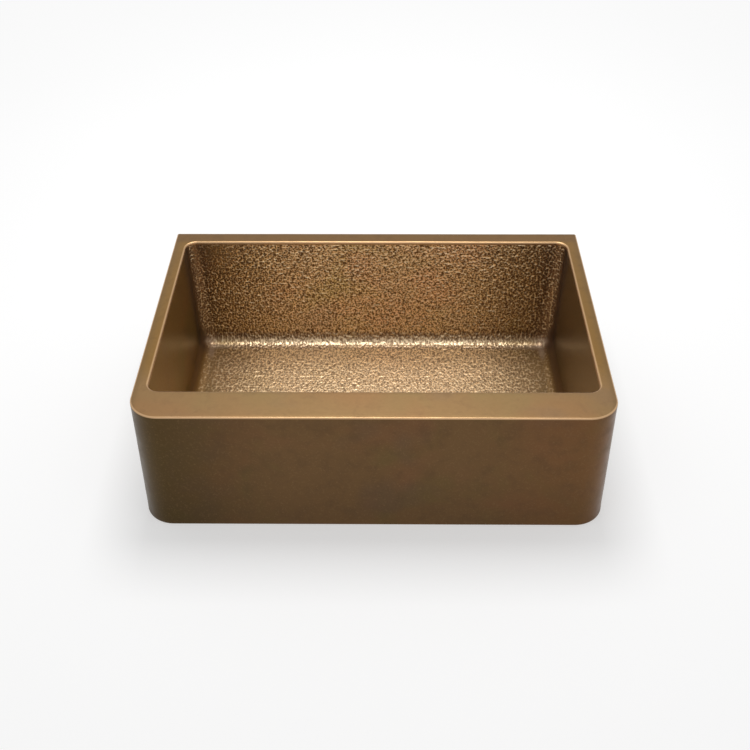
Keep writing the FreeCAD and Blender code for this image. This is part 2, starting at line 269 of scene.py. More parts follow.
def dent_strength(points, side_facing):
    """How deep the hammer marks are: full on the floor and the back, almost none on the side walls."""
    x, y, z = points.T
    strength = 1.0 - 0.97 * smooth(side_facing, 0.35, 0.85)
    on_floor = 1.0 - smooth(z, 12, 30)
    end = 1.0 - (0.25 + 0.45 * on_floor) * smooth(np.abs(x), 230, 325)
    patchy = 0.8 + 0.4 * soft_noise(points, 95.0, 41)
    high_left = 1.0 - 0.6 * smooth(z, 110, 215) * smooth(-x, 170, 320)
    loose = 0.55 + 0.45 * soft_noise(points, 9.0, 57)
    in_corner = np.exp(-(((side_facing - 0.72) / 0.15) ** 2)) * smooth(y, 195, 215) * smooth(z, 30, 60)
    return np.maximum(strength * end * patchy * high_left, loose * in_corner)


def hammered(points, normals):
    """Moves points of the bowl's inner face along their normals, and says how strongly each is hammered."""
    long_way = points * (1.0, FLOOR_STRETCH, 1.0)
    wide, narrow = hammer(long_way, WIDE_MARK, 7), hammer(long_way + 31.0, NARROW_MARK, 19)
    marks = np.clip(0.8 * wide + 0.35 * narrow, 0, 1.3)
    strength = dent_strength(points, np.abs(normals[:, 0]))
    x, y, z = points.T
    free = (1.0 - smooth(z, 214, DECK_BOTTOM)) * smooth(np.hypot(x, y), 64, 84)
    broad = soft_noise(points, 60.0, 3) - 0.5
    deep = 0.20 + 0.07 * smooth(z, 10, 30)
    depth = (deep * (marks - 0.85) - 0.25 * np.abs(broad)) * strength * free
    return points + normals * depth[:, None], strength


def bowl_layers(total, strength, sheet, crease_shade, glint):
    """Point layers for the bowl's material: the first points are the inner face."""
    return {
        "marks": padded(strength, total),
        "inside": padded(np.ones(len(strength)), total),
        "sheet": padded(lifted(sheet * 0.001, 0.0), total),
        "crease_shade": padded(crease_shade, total),
        "glint": padded(glint, total),
    }


def wall_sizes(z):
    """The bowl's inside at one height: half its width, its front, its back and the radius of its corners."""
    t = (z - PAN_TOP) / (DECK_BOTTOM - PAN_TOP)
    spread = WALL_SPREAD * (1 - t)
    corner = MOUTH_CORNER + (FLAT_CORNER + REACH - MOUTH_CORNER) * (1 - t)
    return MOUTH_HALF - spread, MOUTH_FRONT + spread, MOUTH_BACK - spread, corner


def wall_line(which, z, steps):
    """One wall panel's line in plan at one height, with its outward directions."""
    half, low, high, radius = wall_sizes(z)
    if which == "front":
        return bay(half, FRONT_SEAM, low, radius, -1, steps[:3])
    if which == "back":
        return bay(half, BACK_SEAM, high, radius, 1, steps[:3])
    if which == "right":
        return straight((half, FRONT_SEAM), (half, BACK_SEAM), (1, 0), steps[3])
    return straight((-half, BACK_SEAM), (-half, FRONT_SEAM), (-1, 0), steps[3])


def wall_steps(spacing):
    """Steps on a front or back wall's stubs, length and corners, and along a side wall."""
    stub, along, corner, side = (round(length / spacing) for length in (11.0, 640.0, 42.0, 350.0))
    return max(2, stub), along, corner, side


def all_walls(spacing):
    """The line round the bowl where its walls meet the pressed floor, with its outward directions."""
    lines = [wall_line(which, PAN_TOP, wall_steps(spacing)) for which in ("front", "right", "back", "left")]
    return tuple(np.concatenate([line[part][:-1] for line in lines]) for part in (0, 1))


def crease_shade_at(z):
    """A painted dark line of shade above the bend between floor and walls."""
    return smooth(z, 7.5, 16.5) * (1.0 - smooth(z, 20, 34))


def wall_panel(which):
    """A wall panel: its hammered inner face, its plain outer face and the edges between them."""
    steps = wall_steps(WALL_SPACING)
    columns = len(wall_line(which, PAN_TOP, steps)[0])
    inner_rows = round((DECK_BOTTOM - PAN_TOP) / WALL_SPACING) + 1
    inner, directions, sheet, outer = [], [], [], []
    for z in np.linspace(PAN_TOP, DECK_BOTTOM, inner_rows):
        plan, outward = wall_line(which, z, steps)
        run = np.concatenate([[0.0], np.cumsum(np.hypot(*np.diff(plan, axis=0).T))])
        sheet.append(np.column_stack([run - run[-1] / 2, np.full(columns, z)]))
        inner.append(lifted(plan, z))
        directions.append(lifted(-outward * math.cos(LEAN), math.sin(LEAN)))
    inner = np.concatenate(inner)
    moved, strength = hammered(inner, np.concatenate(directions))
    for z in np.linspace(PAN_TOP, DECK_BOTTOM, OUTER_ROWS):
        plan, outward = wall_line(which, z, steps)
        wave = WALL_WAVES * soft_noise(lifted(plan, z), 45.0, 5)
        fade = np.sin(math.pi * (z - PAN_TOP) / (DECK_BOTTOM - PAN_TOP))
        outer.append(lifted(plan + outward * (SHEET - fade * wave)[:, None], z))
    points = np.concatenate([moved] + outer)
    faces = sheet_faces(inner_rows, OUTER_ROWS, columns)
    crease_shade, glint = crease_shade_at(inner[:, 2]), np.zeros(len(inner))
    layers = bowl_layers(len(points), strength, np.concatenate(sheet), crease_shade, glint)
    return make_mesh("hammered_%s_wall" % which, points, faces, layers, ("bowl_%s_panel" % which,), 55)


def past_flat(plan):
    """How far points lie outside the floor's flat part, and the way out."""
    from_middle = plan - (0.0, FLAT_Y)
    q = np.abs(from_middle) - (FLAT_HALF - FLAT_CORNER, FLAT_DEPTH - FLAT_CORNER)
    both = (q > 0).all(1)
    reach = np.hypot(np.maximum(q[:, 0], 0), np.maximum(q[:, 1], 0))
    out = np.where(both[:, None], np.maximum(q, 0) / np.maximum(reach, 1e-9)[:, None], 0.0)
    wide = q[:, 0] > q[:, 1]
    out[~both & wide] = (1, 0)
    out[~both & ~wide] = (0, 1)
    distance = np.where(both, reach, q.max(1)) - FLAT_CORNER
    return distance, out * np.sign(from_middle)


def floor_height(plan):
    """The floor's shallow fall and the pressed recess round the drain."""
    x, y = plan.T
    fall = np.stack([
        (np.abs(x) - LAND) / (320.5 - LAND),
        (y - LAND) / (204.0 - LAND),
        (-y - LAND) / (170.0 - LAND),
    ])
    sharp = 14.0
    steepest = np.log(np.exp(sharp * np.clip(fall, -0.5, 1.2)).sum(0)) / sharp
    level = FLOOR - FALL + FALL * np.clip(steepest - 0.03, 0, 1)
    step = smooth(np.hypot(x, y), RECESS - 0.6, RECESS + 2.6)
    return level * step + RECESS_LEVEL * (1 - step)


def pan_points(plan, below):
    """Points of the pressed pan, from points of its flat blank: floor, rounded bend and turned-up edge."""
    distance, out = past_flat(plan)
    base = plan - out * distance[:, None]
    points, normals = lifted(plan, floor_height(plan) - below), lifted(0.0 * plan, 1.0)
    on_bend = (distance > 0) & (distance <= BEND_LENGTH)
    angle = np.clip(distance, 0, BEND_LENGTH) / BEND
    radius = BEND + below
    curve = lifted(base + out * (radius * np.sin(angle))[:, None], FLOOR + BEND - radius * np.cos(angle))
    facing = lifted(-out * np.sin(angle)[:, None], np.cos(angle))
    points[on_bend], normals[on_bend] = curve[on_bend], facing[on_bend]
    on_wall = distance > BEND_LENGTH
    rise = np.maximum(distance - BEND_LENGTH, 0)
    run = BEND * math.sin(BEND_ANGLE) + rise * math.sin(LEAN) + below
    wall = lifted(base + out * run[:, None], WALL_START + rise * math.cos(LEAN))
    up = lifted(-out * math.cos(LEAN), math.sin(LEAN))
    points[on_wall], normals[on_wall] = wall[on_wall], up[on_wall]
    return points, normals


def pan_rim():
    """The blank's outline, one point for each column of the wall panels above it."""
    plan, outward = all_walls(WALL_SPACING)
    return plan + outward * (UNROLLED - REACH)


def blank_mesh(spacing, rim, rings):
    """Triangles over the blank, and the points of its outline and of the drain hole among their corners."""
    half, depth = FLAT_HALF + UNROLLED, FLAT_DEPTH + UNROLLED
    hexes = []
    for index, y in enumerate(np.arange(-depth, depth, spacing * math.sqrt(3) / 2)):
        x = np.arange(-half, half, spacing) + (spacing / 2 if index % 2 else 0.0)
        hexes.append(np.column_stack([x, np.full(len(x), y + FLAT_Y)]))
    hexes = np.concatenate(hexes)
    order = np.arange(len(hexes))
    shaken = [hashed(np.column_stack([order, 0 * order + axis, 0 * order]), 5 + axis) for axis in (0, 1)]
    hexes += 0.22 * spacing * (np.column_stack(shaken) - 0.5)
    inside = past_flat(hexes)[0] < UNROLLED - 0.6 * spacing
    clear = np.hypot(*hexes.T) > rings[-1] + 0.6 * spacing
    angles = 2 * math.pi * np.arange(HOLE_STEPS) / HOLE_STEPS
    circles = [np.column_stack([radius * np.cos(angles), radius * np.sin(angles)]) for radius in rings]
    plan = np.concatenate([rim] + circles + [hexes[inside & clear]])
    found = delaunay_2d_cdt([Vector(p) for p in plan.tolist()], [], [], 0, 1e-6, False)
    points, triangles = np.array([tuple(p) for p in found[0]]), np.array(found[2])
    middle = points[triangles].mean(1)
    triangles = triangles[np.hypot(*middle.T) > rings[0] * math.cos(math.pi / HOLE_STEPS) * HOLE_EDGE]
    a, b, c = (points[triangles[:, k]] for k in range(3))
    turn = (b[:, 0] - a[:, 0]) * (c[:, 1] - a[:, 1]) - (b[:, 1] - a[:, 1]) * (c[:, 0] - a[:, 0])
    triangles, turn = triangles[np.abs(turn) > 1e-4], turn[np.abs(turn) > 1e-4]
    triangles[turn < 0] = triangles[turn < 0][:, ::-1]

    def placed(wanted):
        return [int(np.argmin(((points - point) ** 2).sum(1))) for point in wanted]

    return points, triangles, placed(rim), placed(circles[0])


def halves(name, points, faces, layers, node):
    """One closed sheet made as a left and a right piece that shade as one where they meet."""
    quads = [face for face in faces if len(face) == 4]
    triangles = [face for face in faces if len(face) == 3]
    triangles += [(f[0], f[1], f[2]) for f in quads] + [(f[0], f[2], f[3]) for f in quads]
    triangles = np.array(triangles)
    a, b, c = (points[triangles[:, k]] for k in range(3))
    face_normals = np.cross(b - a, c - a)
    upper = layers["inside"] > 0.5
    mixed = ~(upper[triangles].all(1) | (~upper[triangles]).all(1))
    face_normals[mixed] = 0.0
    normals = np.zeros_like(points)
    for k in range(3):
        for axis in range(3):
            normals[:, axis] += np.bincount(triangles[:, k], face_normals[:, axis], len(points))
    normals /= np.linalg.norm(normals, axis=1)[:, None] + 1e-12
    made = []
    middle_x = np.array([points[list(face), 0].mean() for face in faces])
    for side, chosen in (("left", middle_x < 0), ("right", middle_x >= 0)):
        picked = [faces[index] for index in np.flatnonzero(chosen)]
        used = np.unique(np.concatenate([np.asarray(face) for face in picked]))
        order = np.full(len(points), -1)
        order[used] = np.arange(len(used))
        own = [tuple(order[list(face)].tolist()) for face in picked]
        own_layers = {key: values[used] for key, values in layers.items()}
        obj = make_mesh("%s_%s" % (name, side), points[used], own, own_layers, instead_of=(node,))
        obj.data.normals_split_custom_set_from_vertices(normals[used].tolist())
        made.append(obj)
    return made


def floor_pan():
    """The pressed floor: its hammered upper face, its plain underside and the edges between them."""
    rim = pan_rim()
    plan, triangles, rim_order, hole_order = blank_mesh(PAN_SPACING, rim, PAN_RINGS)
    points, normals = pan_points(plan, 0.0)
    moved, strength = hammered(points, normals)
    low_plan, low_triangles, low_rim, low_hole = blank_mesh(UNDERSIDE_SPACING, rim, UNDERSIDE_RINGS)
    below, _ = pan_points(low_plan, SHEET)
    shift = len(plan)
    faces = triangles.tolist() + (low_triangles[:, ::-1] + shift).tolist()
    for upper, lower, flip in ((rim_order, low_rim, False), (hole_order, low_hole, True)):
        for index in range(len(upper)):
            after = (index + 1) % len(upper)
            quad = (upper[after], upper[index], shift + lower[index], shift + lower[after])
            faces.append(quad[::-1] if flip else quad)
    # A painted highlight along the bend behind the floor.
    glint = np.exp(-(((past_flat(plan)[0] - 3.0) / 7.0) ** 2)) * smooth(plan[:, 1], 150, 200)
    sheet = plan * (1.0, FLOOR_STRETCH)
    layers = bowl_layers(shift + len(below), strength, sheet, crease_shade_at(points[:, 2]), glint)
    return halves("hammered_floor", np.concatenate([moved, below]), faces, layers, "bowl_floor_pan")


# ---- rim and apron


def wavy(points, inwards, amount, seed):
    """A slight hand-made unevenness, always into the sheet and never out of it."""
    wave = 0.7 * soft_noise(points, 85.0, seed) + 0.3 * soft_noise(points, 34.0, seed + 1)
    return points - inwards * (amount * wave)[:, None]


def rim_rows(under):
    """The rim's cross-section as rows (line in plan, level, wear and painted highlight): its upper face or
    its underside.
    """
    steps, turns, across = (120, 84, 20), 9, 3 if under else 10
    edge, mouth = EDGE_BEND - under, MOUTH_BEND - under

    def outer(shrink):
        back = max(BACK_CORNER - shrink, 0.4)
        return loop(HALF_WIDTH - shrink, FRONT + shrink, BACK - shrink, FRONT_CORNER - shrink, back, steps)[0]

    def inner(grow):
        corner = MOUTH_CORNER + grow
        return loop(MOUTH_HALF + grow, MOUTH_FRONT - grow, MOUTH_BACK + grow, corner, corner, steps)[0]

    rows = [(outer(under), DECK_BOTTOM, 0.0)]
    quarter = [0.5 * math.pi * step / turns for step in range(turns + 1)]
    # The outer bend takes the lighter colour: rubbed wear and a painted highlight.
    for angle in quarter:
        line = outer(EDGE_BEND - edge * math.cos(angle))
        wear_and_highlight = 0.0 if angle in (quarter[0], quarter[-1]) else math.sin(2 * angle) ** 0.7
        rows.append((line, TOP - EDGE_BEND + edge * math.sin(angle), wear_and_highlight))
    start, end = rows[-1][0], inner(MOUTH_BEND)
    for step in range(1, across):
        t = step / across
        rows.append((start * (1 - t) + end * t, TOP - under, 0.0))
    # The mouth's bend and the skirt below it take the lighter colour: rubbed wear and a painted highlight
    # that lightens the bowl's dark reflection there.
    for angle in quarter:
        line = inner(MOUTH_BEND - mouth * math.sin(angle))
        wear_and_highlight = 0.8 * math.sin(min(2 * angle, 0.5 * math.pi)) ** 0.7
        rows.append((line, TOP - MOUTH_BEND + mouth * math.cos(angle), wear_and_highlight))
    rows.append((inner(under), DECK_BOTTOM, 0.8))
    return rows


def rim():
    """The flat rim with its outer edge and the mouth's edge turned down."""
    upper, lower = rim_rows(0.0), rim_rows(SHEET)
    top = np.concatenate([lifted(line, z) for line, z, _ in upper])
    wear_and_highlight = np.concatenate([np.full(len(line), amount) for line, _, amount in upper])
    upright = lifted(0.0 * top[:, :2], smooth(top[:, 2], TOP - 2.0, TOP))
    top = wavy(top, upright, RIM_WAVES, 11)
    points = np.concatenate([top] + [lifted(line, z) for line, z, _ in lower])
    faces = sheet_faces(len(upper), len(lower), len(upper[0][0]), closed=True)
    return make_mesh("smooth_rim", points, faces, smooth_layers(wear_and_highlight, len(points)), ("rim_deck",), 55)


def apron_line(shrink):
    """The apron's line in plan, round both front corners."""
    return bay(HALF_WIDTH - shrink, RETURN_END, FRONT + shrink, FRONT_CORNER - shrink, -1, (8, 132, 26))


def apron_skin(under, rows):
    """One face of the apron: its height in rows, then the lower bend."""
    points, inwards, wear_and_highlight = [], [], []
    for z in np.linspace(DECK_BOTTOM, EDGE_BEND, rows):
        line, out = apron_line(under)
        points.append(lifted(line, z))
        inwards.append(lifted(out, 0.0))
        wear_and_highlight.append(np.zeros(len(line)))
    bend = EDGE_BEND - under
    for step in range(1, BEND_STEPS + 1):
        angle = 0.5 * math.pi * step / BEND_STEPS
        line, _ = apron_line(EDGE_BEND - bend * math.cos(angle))
        points.append(lifted(line, EDGE_BEND - bend * math.sin(angle)))
        inwards.append(np.zeros((len(line), 3)))
        # The lower bend takes some of the lighter colour: wear and a painted highlight.
        wear_and_highlight.append(np.full(len(line), 0.5 * math.sin(2 * angle)))
    return np.concatenate(points), np.concatenate(inwards), np.concatenate(wear_and_highlight), len(line)


def apron():
    """The smooth front of the sink."""
    outer_rows, inner_rows = 46, 6
    outer, inwards, wear_and_highlight, columns = apron_skin(0.0, outer_rows)
    hold = smooth(DECK_BOTTOM - outer[:, 2], 0, 12) * smooth(outer[:, 2], EDGE_BEND, 16)
    outer = wavy(outer, inwards * hold[:, None], APRON_WAVES, 23)
    points = np.concatenate([outer, apron_skin(SHEET, inner_rows)[0]])
    faces = sheet_faces(outer_rows + BEND_STEPS, inner_rows + BEND_STEPS, columns, flip=True)
    return make_mesh("smooth_apron", points, faces, smooth_layers(wear_and_highlight, len(points)), ("apron_panel",), 50)


def strip(side, low, high, along):
    """A turned-down lip: a thin strip with eased edges and a slight waviness, cut along its length."""
    mesh = bmesh.new()
    bmesh.ops.create_cube(mesh, size=1.0)
    bmesh.ops.scale(mesh, vec=[high[k] - low[k] for k in range(3)], verts=mesh.verts)
    bmesh.ops.translate(mesh, vec=[(high[k] + low[k]) / 2 for k in range(3)], verts=mesh.verts)

    def long_edges(least):
        return [e for e in mesh.edges if abs(e.verts[0].co[along] - e.verts[1].co[along]) > least]

    lower = [e for e in long_edges(1.0) if e.verts[0].co.z < low[2] + 1.0]
    bmesh.ops.bevel(mesh, geom=lower, offset=0.6, segments=4, affect="EDGES", profile=0.5)
    bmesh.ops.subdivide_edges(mesh, edges=long_edges(10.0), cuts=60, use_grid_fill=True)
    points = np.array([tuple(v.co) for v in mesh.verts])
    faces = []
    for face in mesh.faces:
        corners = [v.index for v in face.verts]
        first = corners.index(min(corners))
        faces.append(corners[first:] + corners[:first])
    faces.sort()
    mesh.free()
    thin = 1 - along
    outward = np.zeros_like(points)
    outward[:, thin] = 1.0 if low[thin] > 0 else -1.0
    loose = smooth(DECK_BOTTOM - points[:, 2], 3, 20)
    points = wavy(points, outward * loose[:, None], LIP_WAVES, 31)
    # The lips' bottom edge takes the lighter colour: wear and a painted highlight.
    layers = smooth_layers(0.8 * (points[:, 2] < low[2] + 0.5), len(points))
    return make_mesh("%s_turned_lip" % side, points, faces, layers, ("%s_lip" % side,), 40)


def lips():
    """The turned-down lips under the sides and the back of the rim."""
    back = BACK - SHEET
    return [
        strip("left", (-HALF_WIDTH, RETURN_END, LIP_BOTTOM), (-HALF_WIDTH + SHEET, back, DECK_BOTTOM), 1),
        strip("right", (HALF_WIDTH - SHEET, RETURN_END, LIP_BOTTOM), (HALF_WIDTH, back, DECK_BOTTOM), 1),
        strip("back", (-HALF_WIDTH, back, LIP_BOTTOM), (HALF_WIDTH, BACK, DECK_BOTTOM), 0),
    ]


def bead(name, path, outwards, closed):
    """A weld bead on the back of the sheet: a low rippled ridge along a path."""
    rings, ripple = 8, 3.2
    follow = np.roll(path, -1, 0) if closed else np.vstack([path[1:], 2 * path[-1] - path[-2]])
    along = follow - path
    lengths = np.concatenate([[0], np.cumsum(np.linalg.norm(along, axis=1))])[:-1]
    along /= np.linalg.norm(along, axis=1)[:, None] + 1e-9
    side = np.cross(along, outwards)
    uneven = 0.25 * (soft_noise(path, 14.0, 77) - 0.5)
    size = BEAD_RADIUS * (0.85 + 0.22 * np.abs(np.sin(math.pi * lengths / ripple)) + uneven)
    points = []
    for step in range(rings):
        angle = 2 * math.pi * step / rings
        high = math.sin(angle) * (0.55 if math.sin(angle) > 0 else 0.3)
        points.append(path + side * (size * math.cos(angle))[:, None] + outwards * (size * high)[:, None])
    points = np.stack(points, 1).reshape(-1, 3)
    count = len(path)
    faces = []
    for row in range(count if closed else count - 1):
        base, after = row * rings, ((row + 1) % count) * rings
        for step in range(rings):
            right = (step + 1) % rings
            faces.append((base + step, after + step, after + right, base + right))
    if not closed:
        faces.append(tuple(range(rings)))
        faces.append(tuple(reversed(range((count - 1) * rings, count * rings))))
    return make_mesh(name, points, faces)


def welds():
    """Beads on the outside of the bowl, where its panels meet and where the walls meet the pressed floor."""
    plan, outward = all_walls(BEAD_SPACING)
    path = lifted(plan + outward * (SHEET + BEAD_LIFT), PAN_TOP)
    made = [bead("floor_weld", path, lifted(outward, 0.0), True)]
    levels = np.arange(PAN_TOP + 2.5, DECK_BOTTOM - 2.0, BEAD_SPACING)
    for side, hand in ((-1, "left"), (1, "right")):
        for where, seam in (("front", FRONT_SEAM), ("back", BACK_SEAM)):
            across = side * (wall_sizes(levels)[0] + SHEET + BEAD_LIFT)
            path = np.column_stack([across, np.full(len(levels), seam), levels])
            out = np.repeat([[side, 0.0, 0.0]], len(levels), 0)
            made.append(bead("%s_%s_weld" % (hand, where), path, out, False))
    return made


# ---- drain


def knob():
    """The knob's smooth waist and rounded crown, turned from its closed section (radius, level)."""
    profile = [(0, 12.6), (3.4, 12.55), (7.2, 12.2), (9.8, 11.2), (10.5, 10.1), (10.5, 8.9), (9.3, 7.9),
               (6.3, 6.6), (4.8, 5.0), (4.7, 3.2), (5.4, 1.0), (6.6, -0.5), (6.9, -1.4), (0, -1.4)]
    rounds, steps, section = 0.9, 96, []
    for index, corner in enumerate(profile):
        here = np.array(corner, float)
        if here[0] < 1e-6:
            section.append(here)
            continue
        to_before = np.array(profile[index - 1], float) - here
        to_after = np.array(profile[(index + 1) % len(profile)], float) - here
        cut = min(rounds, 0.45 * min(np.linalg.norm(to_before), np.linalg.norm(to_after)))
        start = here + to_before / np.linalg.norm(to_before) * cut
        end = here + to_after / np.linalg.norm(to_after) * cut
        for t in (0.0, 0.33, 0.67, 1.0):
            section.append((1 - t) ** 2 * start + 2 * t * (1 - t) * here + t * t * end)
    angles = 2 * math.pi * np.arange(steps) / steps
    points, faces, first = [], [], []
    for radius, level in section:
        first.append(len(points))
        if radius < 1e-6:
            points.append((0.0, 0.0, level))
        else:
            points += [(radius * math.cos(a), radius * math.sin(a), level) for a in angles]
    for row in range(len(section)):
        following = (row + 1) % len(section)
        on_axis = section[row][0] < 1e-6, section[following][0] < 1e-6
        if all(on_axis):
            continue
        a, b = first[row], first[following]
        for step in range(steps):
            after = (step + 1) % steps
            if on_axis[0]:
                faces.append((a, b + step, b + after))
            elif on_axis[1]:
                faces.append((a + step, b, a + after))
            else:
                faces.append((a + step, b + step, b + after, a + after))
    return make_mesh("turned_knob", points, faces, None, ("lift_knob",), 60, "stopper")


# ---- materials


class Nodes:
    """A node tree, built step by step. Inputs are numbers, colours, vectors or other nodes' outputs."""

    def __init__(self, owner):
        owner.use_nodes = True
        self.tree = owner.node_tree
        self.tree.nodes.clear()

    def link(self, value, socket):
        if isinstance(value, (int, float)):
            socket.default_value = value
        elif isinstance(value, tuple):
            socket.default_value = (*value, 1.0) if len(value) == 3 and socket.type == "RGBA" else value
        else:
            self.tree.links.new(value, socket)

    def node(self, kind, inputs=None, output=0, **fields):
        """Adds a node with its settings and inputs, and gives one of its outputs."""
        made = self.tree.nodes.new("ShaderNode" + kind)
        for field, value in fields.items():
            setattr(made, field, value)
        for name, value in (inputs or {}).items():
            self.link(value, made.inputs[name])
        return made.outputs[output] if made.outputs else made

    def maths(self, operation, first, second):
        return self.node("Math", {0: first, 1: second}, operation=operation)

    def times(self, first, second):
        return self.maths("MULTIPLY", first, second)

    def ranged(self, value, low, high, to_low=0.0, to_high=1.0):
        """A soft step: `to_low` where the value is `low`, `to_high` where it is `high`."""
        inputs = {"Value": value, "From Min": low, "From Max": high, "To Min": to_low, "To Max": to_high}
        return self.node("MapRange", inputs, "Result", interpolation_type="SMOOTHSTEP")

    def shown(self):
        """1 for the rays that show a thing: straight, in metal or through glass."""
        path = self.tree.nodes.new("ShaderNodeLightPath").outputs
        either = self.maths("MAXIMUM", path["Is Camera Ray"], path["Is Glossy Ray"])
        return self.maths("MAXIMUM", either, path["Is Transmission Ray"])


class Paint(Nodes):
    """A material for the sink's pieces."""

    def __init__(self, name, metallic):
        self.material = bpy.data.materials.new(name)
        super().__init__(self.material)
        self.shader = self.tree.nodes.new("ShaderNodeBsdfPrincipled")
        self.link(metallic, self.shader.inputs["Metallic"])
        self.link(1.5, self.shader.inputs["IOR"])
        self.node("OutputMaterial", {"Surface": self.shader.outputs["BSDF"]})
        self.place = self.node("TexCoord", output="Object")

    def noise(self, size, detail=3.0, roughness=0.55, stretch=None, distortion=0.0, where=None):
        where = where or self.place
        if stretch:
            where = self.node("Mapping", {"Vector": where, "Scale": stretch}, "Vector")
        inputs = {"Vector": where, "Scale": 1.0 / size, "Detail": detail, "Roughness": roughness,
                  "Distortion": distortion}
        return self.node("TexNoise", inputs, "Fac")

    def cells(self, size, where):
        """Distance to the middle of each hammer mark, over the unrolled sheet."""
        inputs = {"Vector": where, "Scale": 1.0 / size, "Smoothness": 0.3, "Randomness": 0.9}
        return self.node("TexVoronoi", inputs, "Distance", voronoi_dimensions="2D", feature="SMOOTH_F1")

    def layer(self, name, output="Fac"):
        return self.node("Attribute", {}, output, attribute_name=name)

    def along(self, axis):
        return self.node("SeparateXYZ", {0: self.place}, axis)

    def off_centre(self):
        """How far a point is from the middle, to the left or to the right."""
        return self.maths("ABSOLUTE", self.along("X"), 0.0)

    def facing_up(self):
        return self.node("SeparateXYZ", {0: self.node("TexCoord", output="Normal")}, "Z")

    def mix(self, share, first, second):
        inputs = {"Factor": share, "A": first, "B": second}
        return self.node("Mix", inputs, "Result", data_type="RGBA", blend_type="MIX")

    def bump(self, height, distance, strength, before=None):
        inputs = {"Strength": strength, "Distance": distance, "Height": height}
        if before is not None:
            inputs["Normal"] = before
        return self.node("Bump", inputs, "Normal")

    def finish(self, colour, roughness, normal):
        for name, value in (("Base Color", colour), ("Roughness", roughness), ("Normal", normal)):
            self.link(value, self.shader.inputs[name])
        return self.material


def tarnish(paint, colour, olive, russet, cool, amount=1.0):
    """Wide soft clouds of olive, russet and cool brown over a base colour, as patina has."""
    clouds = paint.noise(0.13, 2.5, 0.5, distortion=0.6)
    colour = paint.mix(paint.ranged(clouds, 0.5, 0.68, 0.0, 0.75 * amount), colour, olive)
    clouds = paint.noise(0.17, 2.0, 0.5, stretch=(1.0, 1.0, 1.35), distortion=0.4)
    colour = paint.mix(paint.ranged(clouds, 0.5, 0.7, 0.0, 0.7 * amount), colour, russet)
    clouds = paint.noise(0.095, 2.0, 0.5, stretch=(0.8, 1.1, 0.9))
    return paint.mix(paint.ranged(clouds, 0.53, 0.72, 0.0, 0.55 * amount), colour, cool)


def mill_scale(paint):
    """Sheet that is never rubbed: heat tint, darker scale and a few pale streaks."""
    tint, olive, russet = (0.150, 0.086, 0.041), (0.122, 0.090, 0.040), (0.182, 0.083, 0.042)
    colour = tarnish(paint, tint, olive, russet, (0.108, 0.072, 0.058))
    scale = paint.noise(0.012, 6.0, 0.68)
    colour = paint.mix(paint.ranged(scale, 0.48, 0.70, 0.0, 0.55), colour, (0.068, 0.040, 0.024))
    streaks = paint.noise(0.030, 5.0, 0.6, stretch=(1.0, 1.0, 0.16))
    return paint.mix(paint.ranged(streaks, 0.55, 0.78, 0.0, 0.35), colour, (0.235, 0.150, 0.085))


def smooth_copper():
    """Rim and apron: satin, brighter on the rubbed edges (wear and painted highlight), darker and cloudier on
    the upright faces (painted shade).
    """
    paint = Paint("patina_copper_smooth", 0.88)

    # The upright faces' darker copy of the copper: painted shade.
    brown, olive, russet = (0.134, 0.073, 0.029), (0.117, 0.079, 0.026), (0.152, 0.071, 0.031)
    upright = tarnish(paint, brown, olive, russet, (0.105, 0.063, 0.035))
    left = paint.ranged(paint.along("X"), -0.38, -0.12, 1.0, 0.0)
    upright = paint.mix(left, upright, (0.068, 0.041, 0.012))
    right = paint.ranged(paint.along("X"), 0.12, 0.38, 0.0, 0.6)
    upright = paint.mix(right, upright, (0.148, 0.064, 0.021))

    # The upward faces' lighter copy of the copper: painted light.
    brown, olive, russet = (0.262, 0.155, 0.063), (0.244, 0.160, 0.063), (0.280, 0.147, 0.060)
    level = tarnish(paint, brown, olive, russet, (0.221, 0.138, 0.073), 0.8)
    sides = paint.ranged(paint.along("Y"), -0.21, -0.12, 0.0, 0.8)
    level = paint.mix(sides, level, (0.228, 0.120, 0.024))
    level = paint.mix(paint.ranged(paint.off_centre(), 0.366, 0.380, 0.0, 0.5), level, (0.150, 0.092, 0.040))
    # The back rim darker: painted shade.
    behind = paint.ranged(paint.along("Y"), 0.236, 0.252, 0.0, 0.7)
    level = paint.mix(behind, level, (0.168, 0.090, 0.034))

    # Lighter copy where the faces look up, darker where they stand upright: painted light and shade.
    colour = paint.mix(paint.ranged(paint.facing_up(), 0.15, 0.95), upright, level)
    mottle = paint.noise(0.022, 5.0, 0.6, distortion=0.3)
    colour = paint.mix(paint.ranged(mottle, 0.42, 0.75, 0.0, 0.30), colour, (0.085, 0.048, 0.022))
    fine = paint.noise(0.0032, 3.0, 0.65)
    colour = paint.mix(paint.ranged(fine, 0.50, 0.80, 0.0, 0.22), colour, (0.30, 0.18, 0.08))
    # Lighter along the bends: rubbed wear and a painted highlight.
    colour = paint.mix(paint.ranged(paint.layer("wear_and_highlight"), 0.15, 1.0, 0.0, 0.85), colour, (0.62, 0.40, 0.22))
    colour = paint.mix(paint.ranged(paint.layer("outside"), 0.4, 0.6, 1.0, 0.0), colour, mill_scale(paint))
    grain = paint.ranged(fine, 0.3, 0.8, 0.0, 0.06)
    rough = paint.maths("ADD", paint.ranged(mottle, 0.35, 0.7, 0.30, 0.40), grain)
    brushed = paint.noise(0.0016, 2.0, 0.6, stretch=(0.06, 1.0, 1.0))
    normal = paint.bump(paint.noise(0.006, 3.0, 0.6), 0.00012, 0.35)
    return paint.finish(colour, rough, paint.bump(brushed, 0.00004, 0.4, normal))


